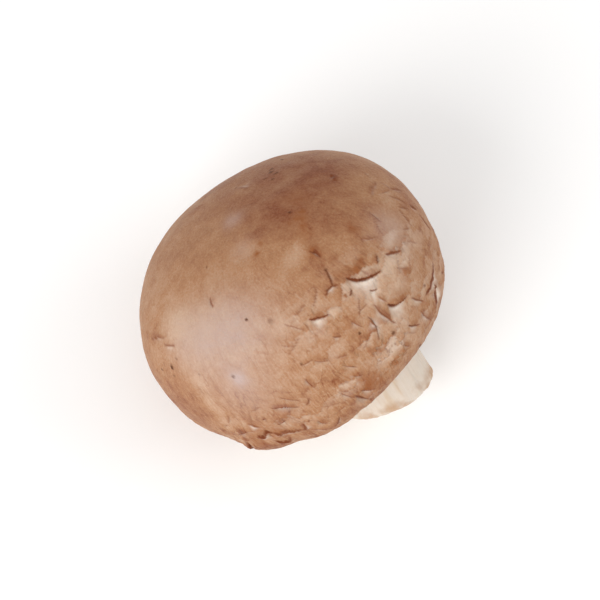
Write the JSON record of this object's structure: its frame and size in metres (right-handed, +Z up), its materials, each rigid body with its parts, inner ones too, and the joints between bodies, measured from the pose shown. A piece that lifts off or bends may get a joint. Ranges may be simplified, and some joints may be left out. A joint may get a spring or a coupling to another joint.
{
  "type": "button mushroom",
  "caption": "Round brown button mushroom lying on its side, with a domed scaly cap, a rolled margin, a closed veil under it and a short pale trimmed stem.",
  "frame": {"origin": "middle of the mushroom's outline on the surface that it lies on", "axes": "+Z up from the surface; the trimmed stem points along +X and down, the crown of the cap along -X and up, and the cap's widest diameter lies along Y"},
  "size_m": [0.0416, 0.0454, 0.0412],
  "materials": {
    "cap_skin": "satin",
    "veil_skin": "matte",
    "stem_flesh": "matte"
  },
  "bodies": {
    "root": {"cap": "cap_skin", "veil": "veil_skin", "stem": "stem_flesh"}
  },
  "joints": []
}
